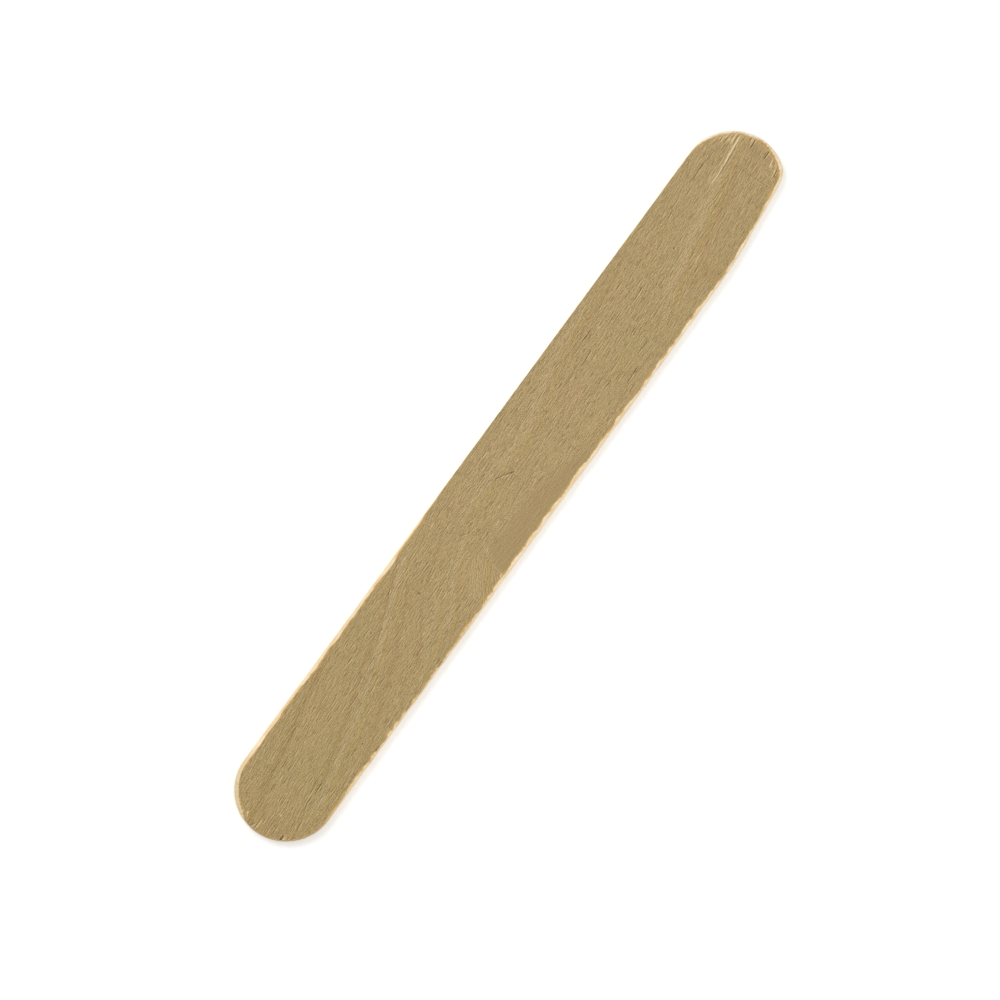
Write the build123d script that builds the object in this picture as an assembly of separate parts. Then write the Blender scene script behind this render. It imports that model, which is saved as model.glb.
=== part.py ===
from build123d import *
import os

# Wooden tongue depressor: one flat blade cut from veneer, then tumbled until its arrises are round.
# Frame: the underside lies on Z = 0 with its centre at the origin, and X runs along the grain.
# The plan has two parallel sides and two full-round ends.
# The +X end is uneven: its -Y side slopes gently in and meets the round at a blunt corner.

# Driving sizes, in millimetres and degrees
BLADE_LENGTH = 150.0
BLADE_WIDTH = 17.6
BLADE_THICKNESS = 1.6
ARRIS_RADIUS = 0.4  # the rounding where either face meets the sides and ends
SLOPE_REACH = 21.5  # along X, from the +X tip back to where the -Y side starts to slope in
SLOPE_ANGLE = 6.2  # between the sloping stretch and the parallel side
BEND_RADIUS = 80.0  # the long bend from the parallel side into the slope
CORNER_RADIUS = 5.0  # the blunt corner from the slope into the round end


def even_plan():
    """The plan as the die cuts it: parallel sides and ends that are full half circles."""
    return SlotOverall(BLADE_LENGTH, BLADE_WIDTH)


def missing_shoulder():
    """All that lies outside the line of the slope, from where it leaves the -Y side."""
    slope_start = Vector(BLADE_LENGTH / 2 - SLOPE_REACH, -BLADE_WIDTH / 2)
    beyond_tip = 2 * SLOPE_REACH
    outside = Rectangle(beyond_tip, BLADE_WIDTH, align=(Align.MIN, Align.MAX))
    return Pos(slope_start) * Rot(0, 0, SLOPE_ANGLE) * outside


def blade_plan():
    """The plan with its slope, blended at both ends so that the rim runs round unbroken."""
    plan = even_plan() - missing_shoulder()
    slope = plan.edges().filter_by(GeomType.LINE).filter_by(Axis.X, reverse=True)[0]
    bend, corner = slope.vertices().sort_by(Axis.X)
    plan = fillet(bend, BEND_RADIUS)
    corner = plan.vertices().sort_by_distance(corner)[0]
    return fillet(corner, CORNER_RADIUS)


def blade():
    """The plan given its thickness, with the arrises of both faces rounded over."""
    slab = extrude(blade_plan(), BLADE_THICKNESS)
    flat_faces = slab.faces().filter_by(Axis.Z)
    return fillet(flat_faces.edges(), ARRIS_RADIUS)


os.makedirs("parts", exist_ok=True)
export_step(blade(), "parts/blade.step")
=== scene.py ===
import random
from collections import namedtuple
from math import cos, exp, hypot, pi, radians, sin, sqrt, tan

import bmesh
import bpy
from mathutils import Matrix, Vector, noise


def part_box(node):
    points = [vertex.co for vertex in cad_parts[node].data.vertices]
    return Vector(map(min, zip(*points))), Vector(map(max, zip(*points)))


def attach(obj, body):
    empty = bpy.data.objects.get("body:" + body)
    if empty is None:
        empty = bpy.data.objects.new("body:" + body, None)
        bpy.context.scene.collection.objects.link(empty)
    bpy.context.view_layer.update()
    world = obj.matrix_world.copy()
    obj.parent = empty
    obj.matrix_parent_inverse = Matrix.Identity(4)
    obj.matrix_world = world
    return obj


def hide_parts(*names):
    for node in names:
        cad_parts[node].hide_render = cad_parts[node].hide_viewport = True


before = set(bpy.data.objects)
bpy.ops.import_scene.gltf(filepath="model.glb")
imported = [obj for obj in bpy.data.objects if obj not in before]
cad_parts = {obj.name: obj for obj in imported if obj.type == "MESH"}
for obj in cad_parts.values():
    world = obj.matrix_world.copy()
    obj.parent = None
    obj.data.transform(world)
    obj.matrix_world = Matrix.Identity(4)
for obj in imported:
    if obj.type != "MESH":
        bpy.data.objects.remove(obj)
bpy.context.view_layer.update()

# A wooden tongue depressor, lying flat and seen from above.
# X runs along the grain, Z = 0 is the surface that the blade lies on, and lengths are in metres.

MM = 0.001
LOW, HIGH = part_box("blade")
HALF_LENGTH = HIGH.x
HALF_WIDTH = HIGH.y
HALF_THICK = (HIGH.z - LOW.z) / 2
ROUND_CENTRE = HALF_LENGTH - HALF_WIDTH  # where the straight sides run into the round ends

# The sloping stretch of the -Y side, near the +X end
SLOPE_START = HALF_LENGTH - 21.5 * MM
SLOPE_ANGLE = radians(6.2)
BEND_BLEND = 0.5 * MM
CORNER_BLEND = 1.0 * MM
CORNER_START = SLOPE_START + 6 * MM
CORNER_END = SLOPE_START + 14 * MM

# How finely the strip is divided
END_COLUMNS = 22
SIDE_COLUMNS = 166
ROWS = 44
HALVINGS = 24  # how often a width is halved to find the sloped side
RIM_BAND = 1.0 * MM
RIM_EDGE = 0.22 * MM
MARK_EDGE = 0.08 * MM
MARK_STRETCH = 3.0  # cells on a mark that runs with the grain are this many times longer along X
CHECK_EDGE = 0.07 * MM
MARK_MARGIN = 0.22 * MM

# The rim's section, from the face, 0, round the arris, 1, to half-way down the side, 2
RIM_SECTION = (0.25, 0.5, 0.75, 1.0, 1.3, 1.65, 2.0)

Wear = namedtuple("Wear", "x width ragged")
Mark = namedtuple("Mark", "points width depth dark pale crosses")
GrowthLine = namedtuple("GrowthLine", "points half_width strength")
GROWTH_FADE = 0.12  # the share of a growth line over which either end fades
FAR_OFF = 99.0

# The tumbled arris of either face, at stations along X. All three values are in millimetres.
WEAR_PLUS_Y = (
    Wear(-75, 0.06, 0.02),
    Wear(-74.5, 0.20, 0.05),
    Wear(-73.5, 0.68, 0.12),
    Wear(-71, 0.84, 0.07),
    Wear(-66, 0.72, 0.03),
    Wear(-50, 0.66, 0.04),
    Wear(-25, 0.58, 0.03),
    Wear(-15, 0.36, 0.03),
    Wear(-8, 0.12, 0.01),
    Wear(58, 0.10, 0.01),
    Wear(67, 0.16, 0.01),
    Wear(70, 0.50, 0.02),
    Wear(74.5, 0.50, 0.02),
    Wear(75, 0.46, 0.02),
)
WEAR_MINUS_Y = (
    Wear(-75, 0.06, 0.02),
    Wear(-71, 0.07, 0.02),
    Wear(-65, 0.16, 0.06),
    Wear(-56, 0.26, 0.12),
    Wear(-27, 0.19, 0.11),
    Wear(-16, 0.34, 0.12),
    Wear(-4, 0.50, 0.12),
    Wear(8, 0.44, 0.11),
    Wear(16, 0.36, 0.10),
    Wear(34, 0.40, 0.10),
    Wear(51, 0.34, 0.08),
    Wear(64, 0.28, 0.04),
    Wear(69, 0.40, 0.04),
    Wear(72.5, 0.62, 0.04),
    Wear(74.2, 0.58, 0.03),
    Wear(75, 0.46, 0.02),
)
WEAR_BELOW = (Wear(-75, 0.30, 0.08), Wear(75, 0.30, 0.08))
LEAST_ARRIS = 0.05  # in millimetres
ARRIS_SLOPE = 0.75  # how far down the side an arris reaches, for each millimetre that it reaches in
FULLY_BARE = 0.3 * MM  # an arris this wide shows the whole of its cream wood
SIDE_ROUGHNESS = 0.02 * MM

# How many swells to the millimetre each layer of roughness has, along X and across it
SLOW_WEAR = (0.28, 0.28)
TORN_WEAR = (0.55, 0.55)
FINE_WEAR = (2.2, 2.2)
FACE_SWELLS = (0.05, 0.16)
FACE_RIDGES = (0.12, 0.8)
MARK_WEAR = (3, 3)
SIDE_WEAR = (0.9, 0.9)
SIDE_WEAR_UPWARD = 3

# How far a fibre has climbed towards +Y, in millimetres
FIBRE_CLIMB = ((-75, 0.0), (-30, 2.6), (-12, 3.2), (12, 3.4), (45, 5.0), (75, 7.2))

# The swirl by the -Y side, where the fibres turn up from the rest, in millimetres
SWIRL_TURN = radians(33)
SWIRL_LEAN = 0.6  # how much further on it starts for each millimetre up from its foot
SWIRL_FOOT = -8.5
SWIRL_STARTS = (-24.5, -19.0)
SWIRL_STOPS = (-14.7, -14.0)
SWIRL_SOFTENS = (-5.0, -3.0)  # between these its end towards +X grows softer
SWIRL_SOFT_END = 2.8
SWIRL_FADES = (-4.8, -0.4)

# Where the smooth dark patch by the -Y side ends, in millimetres
PATCH_EDGE = (
    (-75, -12.0), (-15, -9.4), (-13.5, -5.4), (-11, -4.3), (0, -4.1),
    (5, -4.9), (9, -6.2), (14, -9.0), (75, -12.0),
)

SLIT_REACH = 5.0  # how far a slit and its lip reach to either side, in the slit's own widths
LIP_PLACE = 2.7  # how far off the middle of a slit its lip lies, in those widths
LIP_RISE = 0.3  # how high the lip stands, for each part of the slit's depth

FACE_SINK = 0.04 * MM  # the upper face's mean depth below its highest fibres
UNDER_SINK = 0.02 * MM
SWELL_HEIGHT = 0.008 * MM
RIDGE_HEIGHT = 0.004 * MM


def read_off(stations, x):
    """A value read off a smooth run through given stations, (x, value)."""
    last = len(stations) - 1
    i = 0
    while i < last - 1 and x > stations[i + 1][0]:
        i += 1
    before, start, end, after = (stations[min(max(k, 0), last)] for k in (i - 1, i, i + 1, i + 2))
    span = end[0] - start[0]
    t = min(max((x - start[0]) / span, 0.0), 1.0)
    leave = (end[1] - before[1]) / (end[0] - before[0]) * span
    arrive = (after[1] - start[1]) / (after[0] - start[0]) * span
    return (
        start[1] * (1 + 2 * t) * (1 - t) ** 2
        + leave * t * (1 - t) ** 2
        + end[1] * t * t * (3 - 2 * t)
        + arrive * t * t * (t - 1)
    )


def ease(value, start, end):
    """0 before start and 1 after end, with a smooth step between."""
    t = min(max((value - start) / (end - start), 0.0), 1.0)
    return t * t * (3 - 2 * t)


def soft_min(a, b, blend):
    """The lesser of two distances, with the corner between them rounded."""
    overlap = max(blend - abs(a - b), 0.0) / blend
    return min(a, b) - overlap * overlap * blend / 4


def rim_distance(x, y):
    """How far inside the rim of the plan a point lies."""
    even = HALF_WIDTH - hypot(max(abs(x) - ROUND_CENTRE, 0.0), y)
    slope = (y + HALF_WIDTH) * cos(SLOPE_ANGLE) - (x - SLOPE_START) * sin(SLOPE_ANGLE)
    at_corner = ease(x, CORNER_START, CORNER_END)
    return soft_min(even, slope, BEND_BLEND + (CORNER_BLEND - BEND_BLEND) * at_corner)


def way_out(x, y):
    """The direction straight out to the nearest stretch of rim."""
    step = 0.02 * MM
    along = rim_distance(x - step, y) - rim_distance(x + step, y)
    across = rim_distance(x, y - step) - rim_distance(x, y + step)
    return Vector((along, across)).normalized()


def even_half_width(x):
    """Half the width of the plan at x, if both sides were alike."""
    past = max(abs(x) - ROUND_CENTRE, 0.0)
    return sqrt(max(HALF_WIDTH**2 - past**2, 0.0))


def sloped_half_width(x):
    """Half the width on the -Y side, where the slope takes some away."""
    inner, outer = 0.0, even_half_width(x)
    for _ in range(HALVINGS):
        middle = (inner + outer) / 2
        if rim_distance(x, -middle) > 0:
            inner = middle
        else:
            outer = middle
    return inner


def place_on_plan(p, v):
    """Where a corner of the square grid lies on the blade, with p and v from -1 to 1."""
    straight_share = SIDE_COLUMNS / (SIDE_COLUMNS + 2 * END_COLUMNS)
    if abs(p) <= straight_share:
        x, y = p / straight_share * ROUND_CENTRE, v * HALF_WIDTH
    else:
        q = (abs(p) - straight_share) / (1 - straight_share)
        past = HALF_WIDTH * q * sqrt(1 - v * v / 2)
        x = ROUND_CENTRE + past if p > 0 else -ROUND_CENTRE - past
        y = HALF_WIDTH * v * sqrt(1 - q * q / 2)
    even = even_half_width(x)
    if y < 0 and even > 0:
        y *= sloped_half_width(x) / even
    return x, y


def swell(x_mm, y_mm, waves, level):
    """Smooth roughness about 0 at a place in millimetres. Another level gives another pattern."""
    return noise.noise(Vector((x_mm * waves[0], y_mm * waves[1], level)))


def arris_width(x, y, upper):
    """How far the rounding reaches in from the side at this stretch of the rim."""
    wear = WEAR_BELOW
    if upper:
        wear = WEAR_PLUS_Y if y > 0 else WEAR_MINUS_Y
    x_mm, y_mm = x / MM, y / MM
    width = read_off([(one.x, one.width) for one in wear], x_mm)
    ragged = read_off([(one.x, one.ragged) for one in wear], x_mm)
    level = 3.0 if upper else 40.0
    slow = swell(x_mm, y_mm, SLOW_WEAR, level)
    torn = swell(x_mm, y_mm, TORN_WEAR, level + 5)
    fine = swell(x_mm, y_mm, FINE_WEAR, level + 9)
    return max(width * (1 + 0.5 * slow) + ragged * (2.0 * torn + 1.3 * fine), LEAST_ARRIS) * MM


def face_depth(x, y, upper):
    """How far the peeled face lies below its highest fibres: slow swells, and ridges with the grain."""
    level = 11.0 if upper else 61.0
    slow = swell(x / MM, y / MM, FACE_SWELLS, level)
    ridge = swell(x / MM, fibre_across(x, y), FACE_RIDGES, level + 7)
    sink = FACE_SINK if upper else UNDER_SINK
    return sink + SWELL_HEIGHT * slow + RIDGE_HEIGHT * ridge


def fibre_across(x, y):
    """How far across the fibres a point lies, in millimetres. It stays the same along one fibre."""
    return y / MM - read_off(FIBRE_CLIMB, x / MM)


def swirl_share(x, y):
    """1 in the swirl, which ends sharply towards +X, and 0 where the fibres run along the blade."""
    x_mm, y_mm = x / MM, y / MM
    started = ease(x_mm - SWIRL_LEAN * (y_mm - SWIRL_FOOT), *SWIRL_STARTS)
    sharp, stop = SWIRL_STOPS
    stopped = ease(x_mm, sharp, stop + SWIRL_SOFT_END * ease(y_mm, *SWIRL_SOFTENS))
    return started * (1 - stopped) * (1 - ease(y_mm, *SWIRL_FADES))


def fibre_lean(x, y):
    """How much a fibre climbs towards +Y for each millimetre along X."""
    step = 0.3 * MM
    climb = fibre_across(x - step, y) - fibre_across(x + step, y)
    return climb * MM / (2 * step) + tan(SWIRL_TURN) * swirl_share(x, y)


def nearest_on_run(x, y, points):
    """(gap, where, side): how far off a broken line is, how far along from 0 to 1, and on which side."""
    gap, where, side = 1.0, 0.0, 1.0
    legs = len(points) - 1
    for i in range(legs):
        (ax, ay), (bx, by) = points[i], points[i + 1]
        dx, dy = bx - ax, by - ay
        t = min(max(((x - ax) * dx + (y - ay) * dy) / (dx * dx + dy * dy), 0.0), 1.0)
        off_x, off_y = x - ax - t * dx, y - ay - t * dy
        if hypot(off_x, off_y) < gap:
            gap, where = hypot(off_x, off_y), (i + t) / legs
            side = 1.0 if dx * off_y - dy * off_x > 0 else -1.0
    return gap, where, side


def run(points_mm):
    """A broken line, drawn in millimetres."""
    return [(x * MM, y * MM) for x, y in points_mm]


def growth(half_width, strength, *points_mm):
    """A line of growth, drawn in millimetres."""
    return GrowthLine(run(points_mm), half_width, strength)


def late_wood():
    """The brown lines where a year's growth ends, each sharp towards -Y, and two brown stains."""
    return [
        growth(
            0.50, 1.0, (-82, 1.0), (-75, 1.7), (-71.2, 1.9), (-68.8, 2.65), (-65.4, 3.5), (-61.5, 4.0),
            (-58, 4.75), (-53.5, 5.9), (-48.8, 6.7), (-45, 7.45), (-40, 8.6),
        ),
        growth(
            0.42, 0.90, (-68, -5.8), (-63.5, -4.9), (-59.6, -3.9), (-57, -2.95), (-53.5, -2.2),
            (-50, -1.2), (-46.5, -0.2), (-44.6, 0.5), (-41.5, 1.7), (-38, 2.45),
            (-34.6, 3.2), (-30.8, 4.8), (-27.7, 5.7), (-24.2, 7.1), (-20.5, 8.3),
        ),
        growth(
            0.50, 0.60, (-56, -8.3), (-53, -7.5), (-50.4, -6.6), (-48, -5.8), (-45.8, -4.85), (-43.5, -3.7),
            (-40, -2.7), (-36.9, -1.6), (-34, -0.2), (-30, 1.6), (-26, 3.0), (-20, 4.6),
        ),
        growth(
            0.36, 0.50, (-39, -7.4), (-36.5, -6.2), (-33.5, -4.3), (-30.8, -2.7), (-27, -0.4),
            (-23.8, 1.1), (-21.2, 2.1), (-17.3, 3.4), (-13, 4.6),
        ),
        growth(0.4, 0.35, (-30, -8.8), (-26, -6.9), (-24, -5.8), (-21.5, -3.9), (-18.5, -2.6)),
        growth(0.4, 0.80, (-35.0, -4.65), (-33.9, -4.5), (-32.5, -4.3)),
        growth(0.4, 0.40, (-3, 1.3), (6, 1.2), (12, 1.4), (20, 2.0), (28, 2.6)),
        growth(0.5, 0.55, (22, 3.6), (25, 4.3), (29, 5.3), (33, 5.8), (38, 6.3), (43, 7.3), (48, 8.3)),
        growth(0.7, 0.55, (45, -6.4), (49, -4.6), (52, -3.4), (58, -2.1), (63, -1.1), (67, -0.2), (70, 1.6)),
        growth(1.4, 0.45, (49.6, -2.9), (49.2, -5.0), (49.0, -7.0), (48.8, -9.5)),
    ]


def early_wood():
    """The pale bands where a year's growth begins."""
    return [
        growth(
            0.55, 0.80, (-69.5, -7.2), (-65.4, -6.0), (-59.6, -5.0), (-55.8, -4.1), (-51.9, -3.3),
            (-48.1, -2.35), (-44.2, -1.0), (-39.6, 0.5), (-35.8, 1.9), (-32.7, 3.2),
            (-28.8, 4.6), (-25, 5.9), (-21.2, 7.1), (-18.5, 8.4),
        ),
        growth(0.8, 0.40, (-40, -8.0), (-34, -5.9), (-30, -4.3), (-25, -1.6), (-19, 1.0)),
        growth(
            0.6, 0.7, (-28.5, -6.4), (-27, -5.6), (-23.8, -4.3), (-21.2, -2.7),
            (-19.2, -1.4), (-15.4, 0.15), (-12, 1.0),
        ),
        growth(1.2, 0.5, (-22, -7.6), (-18, -5.2), (-14.6, -3.4)),
        growth(
            0.8, 0.65, (-14, 3.2), (-7, 3.4), (0, 3.3), (5.5, 3.2), (10.5, 3.55),
            (14, 4.55), (18, 5.8), (22, 6.8), (30, 7.6), (36, 8.3),
        ),
        growth(0.7, 0.35, (-13, -2.6), (-6, -3.3), (1, -3.2), (6, -4.2), (12, -5.2), (20, -5.8)),
        growth(
            1.0, 0.70, (38, -4.2), (45, -2.2), (50.5, -0.95), (55, -0.2), (59, 0.8),
            (63, 2.0), (68, 2.8), (76, 4.2),
        ),
    ]


def nearest_growth(x, y, lines):
    """(signed gap in half widths, strength) of the growth line that shows most at a point."""
    best, chosen = FAR_OFF, (FAR_OFF, 0.0)
    for line in lines:
        gap, where, side = nearest_on_run(x, y, line.points)
        gap /= line.half_width * MM
        if gap < best:
            fade = ease(where, 0.0, GROWTH_FADE) * (1 - ease(where, 1 - GROWTH_FADE, 1.0))
            best, chosen = gap, (gap * side, line.strength * fade)
    return chosen


def mark(points_mm, width, depth, dark=0.0, pale=0.0, crosses=False):
    """A split, scratch or pore, in millimetres. A raised sliver has a negative depth."""
    return Mark(run(points_mm), width * MM, depth * MM, dark, pale, crosses)


# Short dark splits that run in from the ends, in millimetres: start, end, width, depth, and how dark their
# painted shade is
END_SPLITS = (
    (73.3, 1.62, 74.5, 1.68, 0.07, 0.10, 0.8), (72.2, 0.70, 74.4, 0.88, 0.07, 0.13, 0.9),
    (72.0, -2.33, 74.1, -2.30, 0.07, 0.13, 0.9), (68.2, -6.13, 70.9, -6.10, 0.06, 0.09, 0.8),
    (70.3, -5.52, 71.7, -5.36, 0.07, 0.08, 0.8), (70.4, 5.00, 71.8, 5.08, 0.06, 0.06, 0.6),
    (69.2, 6.32, 70.6, 6.36, 0.06, 0.06, 0.6), (71.8, -4.45, 72.7, -4.18, 0.06, 0.06, 0.6),
    (-74.8, 1.25, -74.2, 0.95, 0.10, 0.10, 0.7), (-74.9, -1.65, -73.4, -1.65, 0.06, 0.08, 0.6),
    (-74.9, 0.46, -73.4, 0.34, 0.06, 0.06, 0.6), (-74.2, 2.46, -73.2, 2.72, 0.07, 0.08, 0.7),
)

# Slivers that stand up, in millimetres: start, end, width, height, and how pale
SLIVERS = (
    (69.6, 6.60, 71.0, 6.65, 0.08, 0.03, 0.7), (70.5, 6.05, 72.1, 6.12, 0.08, 0.03, 0.8),
    (70.2, 5.62, 72.0, 5.66, 0.08, 0.03, 0.8), (71.4, 5.28, 72.8, 5.35, 0.09, 0.03, 0.9),
    (70.9, 4.66, 73.2, 4.74, 0.09, 0.03, 0.9), (71.1, 4.02, 73.6, 4.26, 0.12, 0.03, 1.2),
    (72.4, 1.02, 74.3, 1.20, 0.07, 0.02, 0.7), (71.3, -4.03, 73.2, -3.58, 0.10, 0.03, 1.0),
    (72.1, -4.86, 73.3, -4.46, 0.10, 0.03, 1.0), (69.7, -5.30, 71.9, -5.08, 0.08, 0.03, 0.8),
    (-74.2, 2.62, -73.0, 2.92, 0.12, 0.03, 1.1), (-74.6, 0.22, -73.0, 0.14, 0.07, 0.02, 0.7),
    (-15.4, -8.50, -14.65, -8.10, 0.10, 0.03, 1.3), (50.0, -3.25, 51.4, -3.20, 0.06, 0.02, 0.5),
    (-31.4, -3.55, -30.6, -3.10, 0.07, 0.02, 0.5), (-5.8, 3.30, -4.2, 3.32, 0.06, 0.02, 0.4),
    (2.9, 1.30, 3.7, 1.36, 0.06, 0.02, 0.6),
)


def end_splits():
    """The splits listed above, and a bent one."""
    made = [mark([ends[:2], ends[2:]], width, depth, dark=dark) for *ends, width, depth, dark in END_SPLITS]
    made.append(mark([(71.3, 3.60), (72.3, 3.74), (73.4, 3.70)], 0.065, 0.07, dark=0.75))
    return made


def lifted_slivers():
    """The slivers listed above, a speck, and the longest sliver with a shallow groove beside it on its -Y
    side, darkened as its painted shadow.
    """
    ridge = [(63.2, 2.54), (65.0, 2.54), (66.9, 2.70), (68.7, 2.95), (71.4, 3.25), (73.7, 3.40)]
    # a shallow groove on the sliver's -Y side, with painted shade as the sliver's shadow
    gap = [(x, y - 0.20) for x, y in ridge]
    made = [mark([ends[:2], ends[2:]], width, -height, pale=pale) for *ends, width, height, pale in SLIVERS]
    made.append(mark(ridge[:3], 0.09, -0.020, pale=0.9))
    made.append(mark(ridge[2:], 0.115, -0.040, pale=1.3))
    made.append(mark(gap, 0.055, 0.05, dark=0.60))
    made.append(mark([(-70.58, -1.95), (-70.42, -1.90)], 0.055, -0.02, pale=1.1, crosses=True))
    return made


def checks():
    """Fine checks that cross the grain."""
    long_check = [(-1.75, 2.52), (-1.21, 2.18), (-0.78, 1.95), (-0.14, 1.57), (0.61, 1.08), (1.24, 0.59)]
    return [
        mark([(-2.95, 3.32), (-2.1, 2.79), (-1.75, 2.52)], 0.09, 0.03, dark=0.25, crosses=True),
        mark(long_check, 0.085, 0.07, dark=0.72, crosses=True),
        mark([(-13.5, 1.72), (-12.8, 1.20), (-12.0, 0.70)], 0.11, 0.04, dark=0.40, crosses=True),
        mark([(-2.16, 0.45), (-1.95, -0.10)], 0.07, 0.03, dark=0.40, crosses=True),
        mark([(68.25, 7.1), (68.3, 4.7)], 0.08, 0.008, dark=0.25, crosses=True),
        mark([(68.3, 2.0), (68.3, -5.6)], 0.08, 0.008, dark=0.25, crosses=True),
    ]


# Open pores long enough to see one by one: where each starts and ends, in millimetres, and how dark its
# painted shade is
OPEN_PORES = (
    (-65.9, 3.98, -62.8, 4.02, 0.6), (-65.9, 3.60, -62.8, 3.68, 0.5), (-64.9, 2.65, -60.8, 3.03, 0.6),
    (-61.3, 2.33, -59.4, 2.38, 0.6), (-67.9, 2.05, -66.5, 2.08, 0.6), (-65.3, 0.40, -63.6, 0.50, 0.6),
    (-69.9, -3.00, -67.9, -2.85, 0.6), (-64.1, -4.45, -61.9, -4.40, 0.6), (-71.2, -5.70, -68.8, -5.35, 0.6),
    (-65.6, -5.90, -63.3, -5.70, 0.6), (-62.4, -6.52, -61.4, -6.50, 0.8), (-68.0, -4.75, -66.3, -4.45, 0.6),
    (-73.2, 3.90, -71.1, 3.98, 0.5), (-42.6, 4.18, -41.1, 4.27, 0.8), (-40.5, 4.42, -39.3, 4.45, 0.6),
    (-40.7, 5.38, -38.7, 5.42, 0.6), (-35.8, 5.75, -34.9, 5.80, 0.9), (-36.3, 4.07, -35.8, 4.07, 0.9),
    (-33.7, 5.43, -31.3, 5.55, 0.5), (-35.3, 4.35, -34.3, 4.50, 0.5), (-35.2, 2.95, -33.8, 2.95, 0.7),
    (-37.7, 3.10, -35.8, 3.20, 0.6), (-29.2, 5.40, -28.0, 5.87, 0.8), (-23.9, 5.55, -23.1, 5.62, 0.8),
    (-24.2, 7.35, -23.6, 7.39, 0.8), (-22.2, 4.68, -21.2, 4.78, 0.7), (-44.7, -1.88, -42.8, -1.65, 0.7),
    (-44.3, 0.68, -42.6, 0.80, 0.6), (-34.7, -4.47, -32.7, -4.50, 0.7), (-22.7, -6.75, -21.0, -6.71, 0.7),
    (-29.2, -6.28, -28.0, -6.32, 0.7), (-23.0, -2.45, -21.7, -2.50, 0.6), (-26.3, 1.55, -25.2, 1.70, 0.7),
    (-26.5, 1.05, -25.3, 1.20, 0.6), (-27.7, -2.12, -26.7, -2.08, 0.6), (-27.5, -0.20, -26.0, -0.27, 0.5),
    (-25.2, -0.48, -24.0, -0.45, 0.5), (-13.2, 6.70, -11.9, 6.75, 0.6), (-4.8, 6.50, -1.7, 6.70, 0.5),
    (0.2, 6.58, 1.4, 6.62, 0.9), (9.5, 6.33, 10.9, 6.60, 0.6), (-1.5, 5.42, -0.3, 5.38, 0.6),
    (-10.9, -2.06, -9.8, -2.03, 0.6), (2.4, -2.20, 3.6, -2.17, 0.8), (10.8, -2.62, 11.7, -2.45, 0.7),
    (-1.5, 3.62, 0.5, 3.68, 0.4), (7.5, 3.33, 9.0, 3.38, 0.5), (7.3, 4.45, 9.0, 4.55, 0.5),
    (14.8, 4.43, 16.5, 4.50, 0.7), (19.5, 7.78, 20.5, 7.80, 0.5), (21.2, 7.18, 22.5, 7.25, 0.6),
    (30.0, 7.70, 33.2, 7.75, 0.6), (26.7, 4.40, 30.0, 4.47, 0.9), (23.0, 2.00, 26.8, 2.27, 1.0),
    (19.7, 2.38, 21.7, 2.42, 0.7), (22.4, -0.43, 23.6, -0.41, 0.7), (32.2, -0.65, 34.8, -0.62, 0.5),
    (32.7, -1.62, 34.2, -1.57, 0.6), (37.8, 1.38, 41.4, 1.62, 1.0), (40.0, 0.60, 41.0, 0.65, 0.6),
    (22.8, -3.57, 24.2, -3.53, 0.9), (25.0, -2.65, 27.7, -2.60, 0.7), (34.0, -2.48, 35.3, -2.46, 0.7),
    (33.3, -3.00, 34.5, -3.05, 0.7), (30.7, -4.60, 34.7, -4.68, 0.7), (16.7, -4.48, 17.8, -4.45, 0.7),
    (25.3, -6.12, 28.8, -5.93, 1.0), (19.7, -7.48, 20.5, -7.46, 0.6), (17.5, -2.13, 20.3, -2.10, 0.5),
    (50.1, -2.14, 51.4, -2.12, 0.9), (65.8, 4.42, 66.9, 4.48, 0.7), (70.3, 5.78, 71.4, 5.85, 0.7),
    (64.1, -1.08, 66.3, -1.03, 0.5), (61.6, -0.83, 63.3, -0.77, 0.5), (53.9, -1.60, 56.3, -1.50, 0.5),
)


def long_pores():
    """The pores listed above, and one wider brown gap, all darkened with painted shade."""
    made = []
    for *ends, dark in OPEN_PORES:
        made.append(mark([ends[:2], ends[2:]], 0.05 + 0.015 * dark, 0.05, dark=0.85 * dark))
    made.append(mark([(60.6, 5.90), (61.5, 5.76), (62.6, 5.72)], 0.06, 0.03, dark=0.35))
    made.append(mark([(62.0, 5.70), (63.8, 5.76), (66.0, 5.90)], 0.075, 0.04, dark=0.65))
    return made


def pits_and_flecks():
    """Dark pits and pale flecks, each no more than a dot."""
    pits = [
        (49.8, 1.2), (56.2, -5.55), (20.9, 1.57), (-51.3, -6.5),
        (-52.5, -5.97), (-41.5, -4.07), (-47.85, -7.77),
    ]
    flecks = [
        (-71.0, -7.55), (-31.8, 4.73), (-31.0, -3.3), (-14.3, 6.55), (-12.9, -3.7),
        (-10.1, 1.45), (-5.3, -0.77), (0.4, -3.8), (2.0, -3.9), (7.7, -0.98),
        (18.3, 6.0), (25.5, 0.73), (30.5, 3.55), (33.9, 4.15),
    ]
    made = [mark([(x - 0.06, y), (x + 0.06, y)], 0.09, 0.05, dark=0.8, crosses=True) for x, y in pits]
    for x, y in flecks:
        made.append(mark([(x - 0.14, y), (x + 0.14, y + 0.03)], 0.06, -0.02, pale=0.65, crosses=True))
    return made


def rim_nicks():
    """Small nicks in the rim: one at the -X end, and the rest along the -Y side."""
    return [
        mark([(-74.6, -4.30), (-73.0, -4.36)], 0.15, 0.16, dark=0.9),
        mark([(-59.4, -8.35), (-56.9, -8.12)], 0.10, 0.05, dark=0.60),
        mark([(-55.4, -8.47), (-54.4, -8.45)], 0.12, 0.10, dark=0.55),
        mark([(-52.3, -8.60), (-51.1, -8.60)], 0.12, 0.10, dark=0.55),
        mark([(41.2, -8.30), (41.9, -8.26)], 0.12, 0.08, dark=0.7),
        mark([(52.4, -8.30), (53.0, -8.20)], 0.10, 0.08, dark=0.6),
    ]


# How many flecks and pores are scattered by chance, besides those listed
FLECKS = 28
PORES = 120
PORE_MARGIN = 0.5 * MM  # how far inside the rim such a pore keeps


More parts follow.
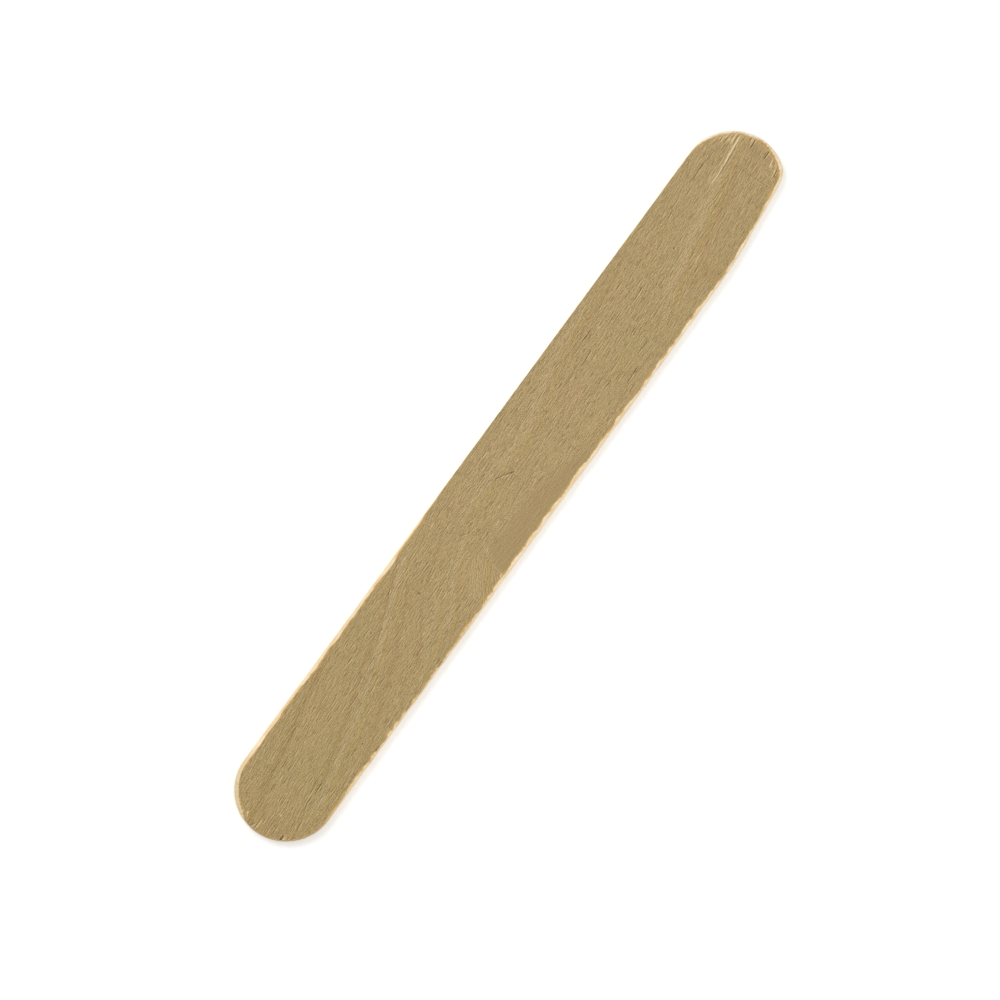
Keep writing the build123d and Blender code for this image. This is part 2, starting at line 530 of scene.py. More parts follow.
def short_run(x, y, half, lean):
    """A short straight run about a point, in millimetres. It climbs by the lean along X."""
    return [(x - half, y - half * lean), (x + half, y + half * lean)]


def scattered_flecks():
    """Short fibre ends that catch the light, all over the upper face."""
    chance = random.Random(23)
    flecks = []
    for _ in range(FLECKS):
        x, y = chance.uniform(-70, 70), chance.uniform(-7.5, 7.8)
        ends = short_run(x, y, chance.uniform(0.10, 0.24), chance.uniform(-0.1, 0.5))
        flecks.append(mark(ends, 0.06, -0.015, pale=chance.uniform(0.2, 0.5), crosses=True))
    return flecks


def scattered_pores():
    """The larger of the open pores, all over the upper face. Each follows the fibres where it lies."""
    chance = random.Random(7)
    pores = []
    while len(pores) < PORES:
        x, y = chance.uniform(-73, 72), chance.uniform(-8.2, 8.2)
        half = chance.uniform(0.4, 1.0) * (1 - 0.4 * swirl_share(x * MM, y * MM))
        ends = short_run(x, y, half, fibre_lean(x * MM, y * MM))
        width = chance.uniform(0.04, 0.055)
        depth = chance.uniform(0.02, 0.04)
        dark = chance.uniform(0.2, 0.45)
        if min(rim_distance(a * MM, b * MM) for a, b in ends) > PORE_MARGIN:
            pores.append(mark(ends, width, depth, dark=dark))
    return pores


class MarkMap:
    """The marks of the upper face, sorted into short stretches of X so that a corner meets only a few."""

    stretch = 1.0 * MM

    def __init__(self, marks):
        self.stretches = {}
        for one in marks:
            xs = [x for x, _ in one.points]
            first = int((min(xs) - MARK_MARGIN) // self.stretch)
            last = int((max(xs) + MARK_MARGIN) // self.stretch)
            for number in range(first, last + 1):
                self.stretches.setdefault(number, []).append(one)

    def near(self, x):
        return self.stretches.get(int(x // self.stretch), ())

    def touches(self, x, y, crossing):
        """Whether a point lies on a mark of that kind or just beside it."""
        found = (one for one in self.near(x) if one.crosses == crossing)
        return any(nearest_on_run(x, y, one.points)[0] < MARK_MARGIN for one in found)

    def read(self, x, y):
        """(depth, slit, lip, slit_share, pale) that the marks give at a point.

        The slit is how far off the nearest dark mark a point lies, where the finish paints shade, and the
        lip how far off the raised lip on the -Y side of that mark, where it paints a highlight. Both are
        counted in the mark's own widths.
        """
        depth = pale = slit_share = 0.0
        slit = lip = SLIT_REACH
        for one in self.near(x):
            gap, where, side = nearest_on_run(x, y, one.points)
            across = gap / one.width
            if across > SLIT_REACH:
                continue
            fade = 1.0 if one.crosses else min(1.0, 5 * where, 5 * (1 - where))
            rough = 0.9 + 0.5 * swell(x / MM, y / MM, MARK_WEAR, 2.0)
            share = (0.3 + 0.7 * fade) * rough
            depth += one.depth * share * exp(-across * across)
            pale = max(pale, one.pale * share * exp(-across * across))
            if one.dark > 0:
                off_lip = abs(across * side + LIP_PLACE)
                depth -= LIP_RISE * one.depth * share * exp(-off_lip * off_lip)
                if across < slit:
                    slit, lip, slit_share = across, off_lip, one.dark * share
        return depth, slit, lip, slit_share, pale


def split_long_edges(bm, longest, stretch, wanted):
    """Halves the edges that are longer than that and whose middle is wanted, four times at most."""
    for _ in range(4):
        long_ones = []
        for edge in bm.edges:
            a, b = edge.verts[0].co, edge.verts[1].co
            if hypot((a.x - b.x) / stretch, a.y - b.y) > longest and wanted((a + b) / 2):
                long_ones.append(edge)
        if not long_ones:
            break
        bmesh.ops.subdivide_edges(bm, edges=long_ones, cuts=1, use_grid_fill=True)


def blade_strip(marks):
    """One closed strip: a grid drawn out to the plan, turned down at the rim, and mirrored below."""
    bm = bmesh.new()
    section = bm.verts.layers.float.new("section")
    columns = SIDE_COLUMNS + 2 * END_COLUMNS
    bmesh.ops.create_grid(bm, x_segments=columns, y_segments=ROWS, size=1.0)
    for v in bm.verts:
        x, y = place_on_plan(v.co.x, v.co.y)
        v.co = Vector((x, y, HALF_THICK))
    split_long_edges(bm, RIM_EDGE, 1.0, lambda p: rim_distance(p.x, p.y) < RIM_BAND)
    rim = [edge for edge in bm.edges if edge.is_boundary]
    for v in {v for edge in rim for v in edge.verts}:
        out = way_out(v.co.x, v.co.y) * rim_distance(v.co.x, v.co.y)
        v.co.x += out.x
        v.co.y += out.y
    for turn in RIM_SECTION:
        grown = bmesh.ops.extrude_edge_only(bm, edges=rim)["geom"]
        ring = {part for part in grown if isinstance(part, bmesh.types.BMVert)}
        for v in ring:
            v[section] = turn
            v.co.z = HALF_THICK * (1 - turn / 2)
        edges = [part for part in grown if isinstance(part, bmesh.types.BMEdge)]
        rim = [edge for edge in edges if edge.verts[0] in ring and edge.verts[1] in ring]
    everything = bm.verts[:] + bm.edges[:] + bm.faces[:]
    bmesh.ops.mirror(bm, geom=everything, matrix=Matrix.Identity(4), merge_dist=0.001 * MM, axis="Z")
    face = HALF_THICK * 0.99
    split_long_edges(bm, MARK_EDGE, MARK_STRETCH, lambda p: p.z > face and marks.touches(p.x, p.y, False))
    split_long_edges(bm, CHECK_EDGE, 1.0, lambda p: p.z > face and marks.touches(p.x, p.y, True))
    bmesh.ops.triangulate(bm, faces=[face for face in bm.faces if len(face.verts) > 4])
    return bm


def settle(bm, marks):
    """Moves each corner of the strip to where the worn blade has it, and notes what the finish reads."""
    section = bm.verts.layers.float["section"]
    names = ("rim", "bare", "slit", "lip", "slit_share", "pale", "fibre", "swirl", "patch")
    names += ("late", "late_share", "early", "early_share")
    note = {name: bm.verts.layers.float.new(name) for name in names}
    late_lines, early_lines = late_wood(), early_wood()
    for v in bm.verts:
        x, y, turn, upper = v.co.x, v.co.y, v[section], v.co.z >= 0
        gap = rim_distance(x, y) if turn == 0 else 0.0
        worn = arris_width(x, y, upper) if gap < RIM_BAND else 0.0
        tall = ARRIS_SLOPE * worn
        depth = face_depth(x, y, upper)
        v[note["fibre"]] = fibre_across(x, y)
        v[note["swirl"]] = swirl_share(x, y)
        v[note["slit"]] = v[note["lip"]] = SLIT_REACH
        v[note["late"]], v[note["late_share"]] = nearest_growth(x, y, late_lines)
        v[note["early"]], v[note["early_share"]] = nearest_growth(x, y, early_lines)
        v[note["patch"]] = read_off(PATCH_EDGE, x / MM) - y / MM
        if turn == 0:
            inset = worn * max(0.0, 1 - gap / RIM_BAND)
            v[note["rim"]] = (gap + inset - worn) / MM
        elif turn <= 1:
            inset = worn * (1 - sin(turn * pi / 2))
            depth += tall * (1 - cos(turn * pi / 2))
            v[note["rim"]] = -turn * worn / MM
        else:
            side = turn - 1
            rough = swell(x / MM, y / MM, SIDE_WEAR, v.co.z / MM * SIDE_WEAR_UPWARD)
            inset = SIDE_ROUGHNESS * (1 + rough) * ease(side, 0.0, 0.3)
            depth = (depth + tall) * (1 - side) + HALF_THICK * side
            v[note["rim"]] = -1.0
        if upper and turn < 1:
            cut, slit, lip, slit_share, pale = marks.read(x, y)
            v[note["slit"]], v[note["lip"]] = slit, lip
            v[note["slit_share"]], v[note["pale"]] = slit_share, pale
            depth = max(depth + cut, 0.0)
        if inset > 0:
            out = way_out(x, y)
            x -= out.x * inset
            y -= out.y * inset
        v[note["bare"]] = min(worn / FULLY_BARE, 1.0) if turn < 1 else 1.0
        height = HALF_THICK - depth
        v.co = Vector((x, y, HALF_THICK + (height if upper else -height)))


def make_blade():
    """The wooden blade, whole, as one piece."""
    marks = MarkMap(
        end_splits()
        + lifted_slivers()
        + checks()
        + long_pores()
        + pits_and_flecks()
        + rim_nicks()
        + scattered_flecks()
        + scattered_pores()
    )
    bm = blade_strip(marks)
    settle(bm, marks)
    bmesh.ops.recalc_face_normals(bm, faces=bm.faces[:])
    for face in bm.faces:
        face.smooth = True
    mesh = bpy.data.meshes.new("birch_blade")
    bm.to_mesh(mesh)
    bm.free()
    blade = bpy.data.objects.new("birch_blade", mesh)
    bpy.context.scene.collection.objects.link(blade)
    return blade


def paint(red, green, blue):
    """A colour as a paint chart gives it, 0 to 255, turned to the light that it gives back."""
    linear = []
    for value in (red / 255, green / 255, blue / 255):
        linear.append(value / 12.92 if value <= 0.04045 else ((value + 0.055) / 1.055) ** 2.4)
    return (*linear, 1.0)


class Finish:
    """The nodes of a material or a world, with short words to join them by."""

    def __init__(self, owner):
        owner.use_nodes = True
        self.owner = owner
        self.tree = owner.node_tree
        self.tree.nodes.clear()

    def add(self, kind, inputs, **settings):
        """A new node. Each input is a value, or another node's output to join to it."""
        made = self.tree.nodes.new(kind)
        for key, value in settings.items():
            setattr(made, key, value)
        for socket, value in inputs.items():
            if isinstance(value, bpy.types.NodeSocket):
                self.tree.links.new(value, made.inputs[socket])
            else:
                made.inputs[socket].default_value = value
        return made

    def math(self, operation, a, b):
        return self.add("ShaderNodeMath", {0: a, 1: b}, operation=operation).outputs[0]

    def sum(self, a, b):
        return self.math("ADD", a, b)

    def times(self, a, b):
        return self.math("MULTIPLY", a, b)

    def greater(self, a, b):
        return self.math("MAXIMUM", a, b)

    def step(self, value, start, end, low=0.0, high=1.0):
        """A smooth step from low to high as the value goes from start to end."""
        inputs = {"Value": value, "From Min": start, "From Max": end, "To Min": low, "To Max": high}
        return self.add("ShaderNodeMapRange", inputs, interpolation_type="SMOOTHSTEP").outputs["Result"]

    def band(self, value, start, full, still_full, end):
        """0 up to the start and past the end, and 1 in between, with a smooth step at either side."""
        return self.times(self.step(value, start, full), self.step(value, end, still_full))

    def mix(self, share, a, b):
        """Value a going over to value b."""
        return self.add("ShaderNodeMix", {0: share, 2: a, 3: b}, data_type="FLOAT").outputs[0]

    def blend(self, share, a, b):
        """Colour a going over to colour b."""
        return self.add("ShaderNodeMix", {0: share, 6: a, 7: b}, data_type="RGBA").outputs[2]

    def noted(self, name):
        """A value that the mesh carries at its corners."""
        return self.add("ShaderNodeAttribute", {}, attribute_name=name).outputs["Fac"]

    def cloud(self, place, along, across, detail=2.0, rough=0.5, shift=0.0):
        """A cloudy pattern at a place (x, y, z), with its clouds per millimetre along X and across."""
        x, y, z = place
        inputs = {
            "X": self.times(x, along),
            "Y": self.sum(self.times(y, across), shift),
            "Z": self.times(z, across),
        }
        spot = self.add("ShaderNodeCombineXYZ", inputs).outputs[0]
        inputs = {"Vector": spot, "Scale": 1.0, "Detail": detail, "Roughness": rough}
        return self.add("ShaderNodeTexNoise", inputs).outputs["Fac"]


# The colours of birch veneer
KHAKI = paint(176, 151, 105)  # the peeled face
ROSY_KHAKI = paint(186, 152, 112)
GREEN_KHAKI = paint(168, 152, 92)
DULL_YELLOW = paint(158, 138, 80)  # what the face turns to towards the -X end
WARM_BROWN = paint(170, 140, 86)  # and at its tip
GOLD_BROWN = paint(210, 168, 104)  # and at the worn +X tip
PALE_WOOD = paint(204, 180, 137)  # early wood
DULL_PALE_WOOD = paint(194, 176, 134)  # early wood towards the -X end
YELLOW_WOOD = paint(182, 153, 86)
BROWN_WOOD = paint(160, 124, 76)  # late wood
OLIVE_WOOD = paint(146, 121, 66)  # late wood towards the -X end
PATCH_BROWN = paint(158, 131, 90)
# the pale of the lips beside pores and vessels: a painted highlight, as if lit from +Y
PORE_LIP_HIGHLIGHT = paint(214, 191, 144)
# the dark of pores and vessels: partly their own colour, partly painted shade in their grooves
PORE_BROWN_AND_SHADE = paint(128, 103, 60)
VESSEL_BROWN_AND_SHADE = paint(122, 97, 56)
# the pale lip beside a cut mark: a painted highlight, as if lit from +Y
SLIT_LIP_HIGHLIGHT = paint(226, 202, 154)
# painted shade inside the marks cut in the mesh: splits, checks, pits, nicks and pores
SLIT_SHADE = paint(92, 67, 38)
LIFTED_BUFF = paint(240, 214, 160)
TAN = paint(204, 165, 104)
DEEP_CREAM = paint(238, 209, 160)
PALE_CREAM = paint(251, 233, 199)
GOLD = paint(224, 190, 130)
DULL_GOLD = paint(184, 153, 104)  # the rim round the -X tip, with BUFF
BUFF = paint(222, 201, 156)
NEAR_WHITE = paint(252, 243, 222)  # the rim round the +X tip

# Where the looks change along X, in millimetres: where the change begins, and where it is full
FACE_DULLS = (0.0, -60.0)
MINUS_TIP_WARMS = (-66.0, -74.0)
PLUS_TIP_WEARS = (66.0, 70.0)
PALE_WOOD_CLEARS = (-34.0, -20.0)
BROWN_WOOD_DULLS = (-48.0, -60.0)
TAN_GROWS = (-72.0, -64.0)
RIM_GILDS = (-18.0, -32.0)
RIM_DULLS = (-63.0, -71.0)
RIM_WHITENS = (67.0, 71.0)

# How strongly each shows on the face, from 0 to 1
EARLY_WOOD_SHOWS = 0.32
YELLOW_WOOD_SHOWS = 0.38
LATE_WOOD_SHOWS = 0.48
PATCH_SHOWS = 0.45
PORE_SHOWS = 0.40
VESSEL_SHOWS = 0.60
GOLD_SHOWS = 0.80

EVEN_TO_THE_EYE = (0.87, 1.0, 1.38)  # how much red, green and blue light a tone changes on khaki wood
TONE_SHOWS = 0.72  # how much of the fibres' tone shows on the face
PATCH_TONE_SHOWS = 0.46  # and on the smooth patch
FIBRE_STEP = 0.11  # from a fibre's painted light flank to its painted dark one, in millimetres
PORE_LIP = 0.15  # how far towards -Y of a fine pore its lip lies, in millimetres; the lip is a painted highlight
PORE_EDGE = (0.345, 0.285)  # a pore opens where its cloud falls from the first value to the second
VESSEL_SPACING = (2.6, 0.42)  # from one vessel to the next, along the fibres and across, in millimetres
VESSEL_HALF_LENGTH = (0.4, 1.3)  # the shortest and the longest, in millimetres
VESSEL_HALF_WIDTH = 0.07
# how far towards -Y of a vessel its lip lies, in millimetres; the lip is a painted highlight
VESSEL_LIP = 0.15


class BirchVeneer(Finish):
    """Unfinished birch veneer: khaki on the peeled faces, cream where tumbling has bared the rim."""

    def __init__(self):
        super().__init__(bpy.data.materials.new("bare_birch_veneer"))
        place = self.add("ShaderNodeTexCoord", {}).outputs["Object"]
        axes = self.add("ShaderNodeSeparateXYZ", {0: place}).outputs
        self.x, self.y, self.z = (self.times(axes[name], 1 / MM) for name in ("X", "Y", "Z"))
        turned_x, turned_y = cos(SWIRL_TURN), sin(SWIRL_TURN)
        along_swirl = self.sum(self.times(self.x, turned_x), self.times(self.y, turned_y))
        across_swirl = self.sum(self.times(self.x, -turned_y), self.times(self.y, turned_x))
        self.straight = (self.x, self.noted("fibre"), self.z)  # along the fibres, across them, and up
        self.turned = (along_swirl, across_swirl, self.z)  # the same in the swirl

        # What more than one part of the finish reads
        self.rim = self.noted("rim")
        self.waver = self.step(self.cloud(self.straight, 0.35, 1.3, shift=67.0), 0.2, 0.8, -0.5, 0.5)
        self.swirl = self.step(self.sum(self.noted("swirl"), self.times(self.waver, 0.5)), 0.2, 0.8)
        self.patch = self.step(self.sum(self.noted("patch"), self.waver), -1.4, 1.6)
        self.streak = self.cloud(self.straight, 0.28, 2.2, detail=3.0, rough=0.65)
        self.fuzz = self.cloud(self.straight, 5.5, 7.0, detail=0.0, shift=31.0)
        self.fibres = self.torn_fibres()
        self.pore, self.pore_lip = self.fine_pores()
        self.vessel, self.vessel_lip = self.open_vessels()
        self.join()

    def join(self):
        """The layers of colour, one on another, and the relief that goes with them."""
        colour = self.peeled_face()
        colour = self.add_growth(colour)
        # the fibres' painted light and shade goes into the colour here, with their tone
        colour = self.shade(colour, self.fibre_tone())
        colour = self.add_pores(colour)
        colour = self.add_rim(colour)
        colour = self.blend(self.noted("pale"), colour, LIFTED_BUFF)
        # painted shade darkens the marks cut in the mesh
        cut = self.times(self.step(self.noted("slit"), 1.8, 0.5), self.noted("slit_share"))
        colour = self.blend(cut, colour, SLIT_SHADE)
        inputs = {
            "Base Color": colour,
            "Roughness": self.step(self.streak, 0.2, 0.8, 0.78, 0.62),
            "Specular IOR Level": 0.3,
            "Normal": self.relief_of_fibres(),
        }
        shader = self.add("ShaderNodeBsdfPrincipled", inputs)
        self.add("ShaderNodeOutputMaterial", {"Surface": shader.outputs[0]})

    def shade(self, colour, tone):
        """The colour, made darker or lighter by a tone about 0 that looks even to the eye."""
        tones = self.add("ShaderNodeCombineXYZ", {"X": tone, "Y": tone, "Z": tone}).outputs[0]
        inputs = {0: tones, 1: EVEN_TO_THE_EYE, 2: (1.0, 1.0, 1.0)}
        share = self.add("ShaderNodeVectorMath", inputs, operation="MULTIPLY_ADD").outputs[0]
        return self.add("ShaderNodeVectorMath", {0: colour, 1: share}, operation="MULTIPLY").outputs[0]

    def lit_cloud(self, place, along, across, shift):
        """Fibres as a cloud with painted light and shade, as if lit from +Y: light on one flank, dark on the
        other, and 0 on the whole.
        """
        cloud = self.cloud(place, along, across, detail=1.0, rough=0.6, shift=shift)
        shift += FIBRE_STEP * across
        beside = self.cloud(place, along, across, detail=1.0, rough=0.6, shift=shift)
        return self.sum(cloud, self.times(beside, -1.0))

    def dashes(self, place, along, across, shift):
        """(dashes, lips): short dashes with the fibres, and the lip towards -Y of each, where a painted
        highlight goes.
        """
        dash = self.cloud(place, along, across, detail=0.0, shift=shift)
        beside = self.cloud(place, along, across, detail=0.0, shift=shift + PORE_LIP * across)
        dash = self.step(dash, *PORE_EDGE)
        return dash, self.times(self.step(beside, *PORE_EDGE), self.step(dash, 0.0, 1.0, 1.0, 0.0))

    def peeled_face(self):
        """The face and the slow changes of its colour."""
        hue = self.cloud(self.straight, 0.07, 0.35, shift=97.0)
        face = self.blend(self.step(hue, 0.55, 0.80, 0.0, 0.30), KHAKI, ROSY_KHAKI)
        face = self.blend(self.step(hue, 0.45, 0.20, 0.0, 0.30), face, GREEN_KHAKI)
        face = self.blend(self.step(self.x, *FACE_DULLS, 0.0, 0.20), face, DULL_YELLOW)
        face = self.blend(self.step(self.x, *MINUS_TIP_WARMS, 0.0, 0.30), face, WARM_BROWN)
        by_the_rim = self.step(self.rim, 2.2, 0.3, 0.0, 0.40)
        worn_tip = self.times(self.step(self.x, *PLUS_TIP_WEARS), by_the_rim)
        return self.blend(worn_tip, face, GOLD_BROWN)

    def add_growth(self, face):
        """Each year's pale band with its yellow edge, the brown lines, and the smooth dark patch."""
        gap = self.sum(self.noted("early"), self.waver)
        share = self.noted("early_share")
        early = self.times(self.band(gap, -1.3, -0.2, 0.3, 1.7), share)
        yellow = self.times(self.band(gap, -2.6, -1.6, -1.5, -0.6), share)
        gap = self.sum(self.noted("late"), self.waver)
        late = self.times(self.band(gap, -0.8, -0.1, 0.2, 1.9), self.noted("late_share"))
        pale_wood = self.blend(self.step(self.x, *PALE_WOOD_CLEARS), DULL_PALE_WOOD, PALE_WOOD)
        brown_wood = self.blend(self.step(self.x, *BROWN_WOOD_DULLS), BROWN_WOOD, OLIVE_WOOD)
        face = self.blend(self.times(early, EARLY_WOOD_SHOWS), face, pale_wood)
        face = self.blend(self.times(yellow, YELLOW_WOOD_SHOWS), face, YELLOW_WOOD)
        face = self.blend(self.times(late, LATE_WOOD_SHOWS), face, brown_wood)
        return self.blend(self.times(self.patch, PATCH_SHOWS), face, PATCH_BROWN)

    def torn_fibres(self):
        """Torn fibres, each with a painted light flank and a painted dark flank, and loose ones. The swirl
        turns them up.
        """
        thin = self.cloud(self.straight, 0.60, 8.0, detail=0.0, shift=15.0)
        short = self.cloud(self.straight, 1.6, 5.0, detail=1.0, shift=25.0)
        loose = self.sum(self.times(thin, 0.34), self.times(short, 0.10))
        torn_long = self.lit_cloud(self.straight, 0.50, 6.0, 43.0)
        torn_short = self.lit_cloud(self.straight, 1.4, 6.0, 83.0)
        fine = self.sum(self.times(torn_long, 0.80), self.times(torn_short, 0.95))
        fine = self.sum(fine, self.sum(loose, -0.22))
        uneven = self.cloud(self.straight, 0.10, 0.45, detail=1.0, shift=53.0)
        fine = self.times(fine, self.step(uneven, 0.30, 0.70, 0.55, 1.45))
        turned = self.lit_cloud(self.turned, 1.2, 5.2, 43.0)
        return self.mix(self.swirl, fine, self.times(turned, 1.7))

    def fibre_tone(self):
        """How light or dark the fibres with their painted light and shade, their slow drift and their fuzz
        make the face.
        """
        drift = self.cloud(self.straight, 0.05, 0.30, detail=1.0)
        slow = self.sum(self.times(drift, 0.10), self.times(self.streak, 0.05))
        rest = self.sum(self.sum(slow, self.times(self.fuzz, 1.75)), -0.95)
        shown = self.step(self.patch, 0.0, 1.0, TONE_SHOWS, PATCH_TONE_SHOWS)
        return self.times(self.sum(self.fibres, rest), shown)

    def fine_pores(self):
        """(pores, lips): short dark dashes, partly the pores' colour and partly painted shade, with lips for
        a painted highlight; turned up in the swirl and fewer on the smooth patch.
        """
        pore, lip = self.dashes(self.straight, 0.80, 9.0, 11.0)
        slant, slant_lip = self.dashes(self.turned, 1.0, 5.4, 11.0)
        pore, lip = self.mix(self.swirl, pore, slant), self.mix(self.swirl, lip, slant_lip)
        shown = self.step(self.patch, 0.0, 1.0, 1.0, 0.35)
        return self.times(pore, shown), self.times(lip, shown)

    def open_vessels(self):
        """(vessels, lips): long thin vessels with tapered ends, dark partly in their own colour and partly
        as painted shade, and the lip towards -Y of each, for a painted highlight.
        """
        x, y, z = self.straight
        over_x = self.times(x, 1 / VESSEL_SPACING[0])
        over_y = self.sum(self.times(y, 1 / VESSEL_SPACING[1]), 5.0)
        over_z = self.times(z, 1 / VESSEL_SPACING[1])
        place = self.add("ShaderNodeCombineXYZ", {"X": over_x, "Y": over_y, "Z": over_z}).outputs[0]
        cells = self.add("ShaderNodeTexVoronoi", {"Vector": place, "Scale": 1.0}).outputs
        middle = self.add("ShaderNodeSeparateXYZ", {0: cells["Position"]}).outputs
        chance = self.add("ShaderNodeSeparateXYZ", {0: cells["Color"]}).outputs
        half_long = self.step(chance["Y"], 0.0, 1.0, *VESSEL_HALF_LENGTH)
        along = self.sum(over_x, self.times(middle["X"], -1.0))
        along = self.math("DIVIDE", self.times(along, VESSEL_SPACING[0]), half_long)
        along = self.times(along, along)
        across = self.times(self.sum(over_y, self.times(middle["Y"], -1.0)), VESSEL_SPACING[1])
        off_swirl = self.step(self.swirl, 0.0, 1.0, 1.0, 0.0)
        shown = self.times(off_swirl, self.step(self.patch, 0.0, 1.0, 1.0, 0.3))
        made = []
        for off in (0.0, VESSEL_LIP):
            past = self.times(self.sum(across, off), 1 / VESSEL_HALF_WIDTH)
            ring = self.sum(self.times(past, past), along)
            open_share = self.times(self.step(ring, 1.4, 0.5), self.step(chance["X"], 0.3, 1.0))
            made.append(self.times(open_share, shown))
        return made

    def add_pores(self, face):
        """Fine pores and vessels, dark partly as painted shade, and their lips and the lips of the slits
        that the mesh is cut for, pale as painted highlights.
        """
        face = self.blend(self.times(self.pore_lip, PORE_SHOWS), face, PORE_LIP_HIGHLIGHT)
        face = self.blend(self.times(self.pore, PORE_SHOWS), face, PORE_BROWN_AND_SHADE)
        face = self.blend(self.times(self.vessel_lip, VESSEL_SHOWS), face, PORE_LIP_HIGHLIGHT)
        face = self.blend(self.times(self.vessel, VESSEL_SHOWS), face, VESSEL_BROWN_AND_SHADE)
        # the painted highlight on the raised lip beside each cut mark
        slit_lip = self.times(self.step(self.noted("lip"), 1.9, 0.5), self.noted("slit_share"))
        return self.blend(slit_lip, face, SLIT_LIP_HIGHLIGHT)

    def add_rim(self, face):
        """The bare rim: its edge is torn along the fibres, and a tan line lies just inside it."""
        bare = self.noted("bare")
        torn = self.cloud(self.straight, 0.5, 3.0, shift=23.0)
        torn_rim = self.sum(self.rim, self.step(torn, 0.2, 0.8, -0.08, 0.08))
        tan_reach = self.step(self.y, 0.0, 4.0, 0.30, 0.46)
        tan_line = self.times(self.step(torn_rim, tan_reach, 0.02), self.step(bare, 0.30, 1.0))
        tan_shows = self.times(
            self.step(self.x, *TAN_GROWS, 0.35, 0.85),
            self.step(self.x, *RIM_WHITENS, 1.0, 0.4),
        )
        face = self.blend(self.times(tan_line, tan_shows), face, TAN)
        # near-white on the arris round the +X tip
        whitened = self.times(self.step(self.x, *RIM_WHITENS), self.step(self.y, -1.0, 2.5))
        whitened = self.times(whitened, self.step(self.rim, -0.95, -0.45))
        cream = self.blend(whitened, self.rim_cream(), NEAR_WHITE)
        sharp_edge = self.step(torn_rim, 0.03, -0.11)
        soft_edge = self.step(torn_rim, 0.20, -0.30)
        return self.blend(self.times(self.mix(whitened, sharp_edge, soft_edge), bare), face, cream)

    def rim_cream(self):
        """The cream of the rim: streaked, golden in places on the -Y side, and dull at the -X end."""
        cream = self.blend(self.step(self.streak, 0.3, 0.7), DEEP_CREAM, PALE_CREAM)
        golden = self.times(self.step(self.x, *RIM_GILDS), self.step(self.y, 2.0, -4.0))
        lobes = self.cloud((self.x, self.y, self.z), 0.30, 0.30, shift=61.0)
        golden = self.times(golden, self.step(lobes, 0.40, 0.60, 0.25, 1.1))
        cream = self.blend(self.times(golden, GOLD_SHOWS), cream, GOLD)
        dull = self.blend(self.step(self.y, 0.5, 3.0), DULL_GOLD, BUFF)
        return self.blend(self.step(self.x, *RIM_DULLS, 0.0, 0.85), cream, dull)

    def relief_of_fibres(self):
        """The normals of a relief too fine to model, with its heights in millimetres."""
        height = self.sum(self.times(self.streak, 0.014), self.times(self.fibres, 0.010))
        rise = self.sum(self.times(self.fuzz, 0.012), self.times(self.pore_lip, 0.020))
        height = self.sum(height, rise)
        height = self.sum(height, self.times(self.sum(self.pore, self.vessel), -0.020))
        inputs = {"Height": height, "Strength": 1.0, "Distance": MM}
        return self.add("ShaderNodeBump", inputs).outputs[0]


def seen_directly(finish):
    """1 for what the camera sees, straight, reflected or through glass, and 0 for light on the blade."""
    path = finish.add("ShaderNodeLightPath", {}).outputs
    straight_or_reflected = finish.greater(path["Is Camera Ray"], path["Is Glossy Ray"])
    return finish.greater(straight_or_reflected, path["Is Transmission Ray"])


WHITE = (1.0, 1.0, 1.0, 1.0)
FLOOR_HALF = 3.0
FLOOR_GREY = 0.85
FLOOR_LIFT = 0.25  # what the camera sees of the floor beyond the light that it gives back


def make_floor():
    """A plain pale floor that the camera sees as white, with the blade's shadow on it."""
    bm = bmesh.new()
    bmesh.ops.create_grid(bm, x_segments=1, y_segments=1, size=FLOOR_HALF)
    mesh = bpy.data.meshes.new("floor")
    bm.to_mesh(mesh)
    bm.free()
    floor = bpy.data.objects.new("floor", mesh)
    bpy.context.scene.collection.objects.link(floor)
    paper = Finish(bpy.data.materials.new("white_floor"))
    matt = paper.add("ShaderNodeBsdfDiffuse", {"Color": (FLOOR_GREY, FLOOR_GREY, FLOOR_GREY, 1.0)})
    lift = paper.times(seen_directly(paper), FLOOR_LIFT)
    glow = paper.add("ShaderNodeEmission", {"Color": WHITE, "Strength": lift})
    both = paper.add("ShaderNodeAddShader", {0: matt.outputs[0], 1: glow.outputs[0]})
    paper.add("ShaderNodeOutputMaterial", {"Surface": both.outputs[0]})
    mesh.materials.append(paper.owner)


SKY_STRENGTH = 0.70


def light_the_studio():
    """Soft white light from all round, a softbox high beyond +Y and a weaker one low beyond -Y."""
    world = bpy.data.worlds.new("studio")
    bpy.context.scene.world = world
    sky = Finish(world)
    path = sky.add("ShaderNodeLightPath", {}).outputs
    seen = sky.greater(path["Is Camera Ray"], path["Is Glossy Ray"])
    strength = sky.add("ShaderNodeMapRange", {"Value": seen, "To Min": SKY_STRENGTH}).outputs[0]
    light = sky.add("ShaderNodeBackground", {"Color": WHITE, "Strength": strength}).outputs[0]
    sky.add("ShaderNodeOutputWorld", {"Surface": light})
    hang_softbox("high_softbox", Vector((0.10, 0.78, 0.92)), 4.7)
    hang_softbox("low_softbox", Vector((-0.45, -1.05, 0.35)), 3.1)


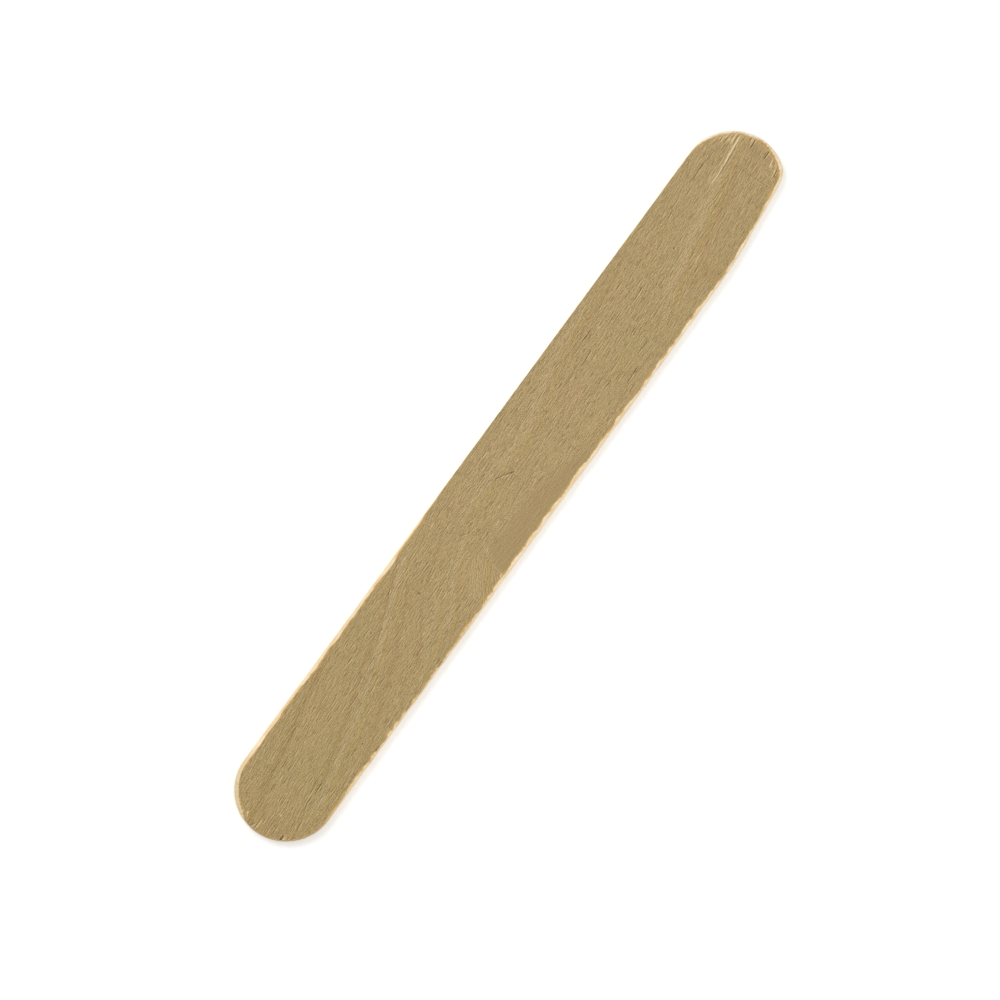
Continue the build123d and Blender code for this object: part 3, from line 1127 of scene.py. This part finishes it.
def hang_softbox(name, place, watts):
    """A round softbox that faces the blade."""
    softbox = bpy.data.lights.new(name, "AREA")
    softbox.shape = "DISK"
    softbox.size = 0.7
    softbox.energy = watts
    lamp = bpy.data.objects.new(name, softbox)
    bpy.context.scene.collection.objects.link(lamp)
    lamp.location = place
    lamp.rotation_euler = (-place).to_track_quat("-Z", "Y").to_euler()


# The camera stands a little off the vertical. The turn is anticlockwise from the picture's right to +X.
CAMERA_FAR = 1.0
CAMERA_TILT = radians(15.0)
BLADE_TURN = radians(54.72)
PICTURE_SIZE = 1000
PIXELS_ACROSS_METRE = 5839
BLADE_PIXEL = (513.0, 481.6)  # where the middle of the blade's underside shows


def make_camera():
    """The camera, aimed just off the blade's middle so that it sits in the picture as it should."""
    right = Vector((cos(BLADE_TURN), -sin(BLADE_TURN), 0.0))
    up_the_floor = Vector((sin(BLADE_TURN), cos(BLADE_TURN), 0.0))
    place = CAMERA_FAR * (Vector((0, 0, cos(CAMERA_TILT))) - up_the_floor * sin(CAMERA_TILT))
    up = right.cross(-place).normalized()
    off_right = (PICTURE_SIZE / 2 - BLADE_PIXEL[0]) / PIXELS_ACROSS_METRE * CAMERA_FAR
    off_up = (BLADE_PIXEL[1] - PICTURE_SIZE / 2) / PIXELS_ACROSS_METRE * CAMERA_FAR
    forward = (right * off_right + up * off_up - place).normalized()
    right = forward.cross(up).normalized()
    up = right.cross(forward)
    data = bpy.data.cameras.new("camera")
    data.sensor_width = 36.0
    data.lens = data.sensor_width * PIXELS_ACROSS_METRE * CAMERA_FAR / PICTURE_SIZE
    camera = bpy.data.objects.new("camera", data)
    bpy.context.scene.collection.objects.link(camera)
    turned = Matrix((right, up, -forward)).transposed()
    camera.matrix_world = Matrix.Translation(place) @ turned.to_4x4()
    bpy.context.scene.camera = camera


blade = make_blade()
blade.data.materials.append(BirchVeneer().owner)
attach(blade, "root")
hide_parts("blade")

make_floor()
light_the_studio()
make_camera()
bpy.context.scene.view_settings.view_transform = "Standard"
